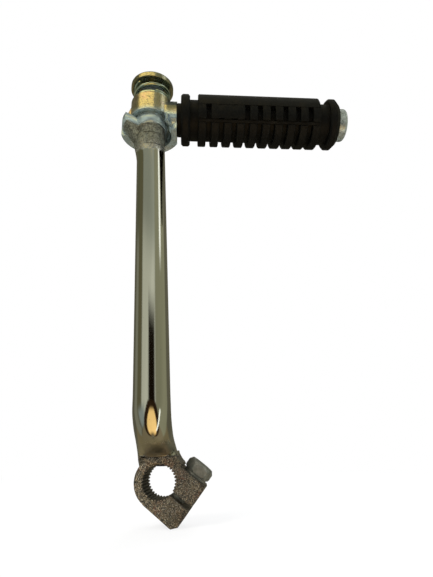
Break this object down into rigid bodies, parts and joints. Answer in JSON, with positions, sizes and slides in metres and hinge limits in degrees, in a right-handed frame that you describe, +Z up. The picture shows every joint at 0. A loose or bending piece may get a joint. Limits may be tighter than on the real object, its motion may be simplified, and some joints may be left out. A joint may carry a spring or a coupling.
{
  "type": "kick start lever",
  "caption": "Folding kick start lever: a chromed bent arm with a splined pinch clamp at its foot and a sprung folding pedal with a ribbed rubber at its head.",
  "frame": {"origin": "centre of the splined bore, midway along its length", "axes": "+Y along the bore towards the engine, +Z up the arm, +X the side where the pedal is stowed"},
  "size_m": [0.1077, 0.0379, 0.1984],
  "materials": {
    "chrome": "chrome plate over a forging",
    "zinc_steel": "zinc plate",
    "spring_steel": "zinc plated wire",
    "dark_steel": "grey plated steel",
    "black_rubber": "moulded, matt"
  },
  "bodies": {
    "arm": {"clamp_boss": "chrome", "kick_arm": "chrome", "pinch_bolt": "dark_steel", "pinch_washer": "dark_steel", "pedal_spring": "spring_steel", "retaining_cap": "zinc_steel", "snap_ring": "dark_steel"},
    "lifter": {"spring_seat": "zinc_steel"},
    "pedal": {"pedal_knuckle": "zinc_steel", "pedal_rubber": "black_rubber", "end_button": "chrome"}
  },
  "joints": [
    {"name": "pedal_lift", "type": "slide", "parent": "arm", "child": "lifter", "axis": [0, 0, 1], "range_m": [0, 0.0015], "stiffness_N_per_m": 6900, "springref_m": -0.006, "deforming": ["pedal_spring"]},
    {"name": "pedal_fold", "type": "hinge", "parent": "lifter", "child": "pedal", "pos_m": [-0.006, -0.02, 0.16], "axis": [0, 0, -1], "range_deg": [0, 96]}
  ]
}
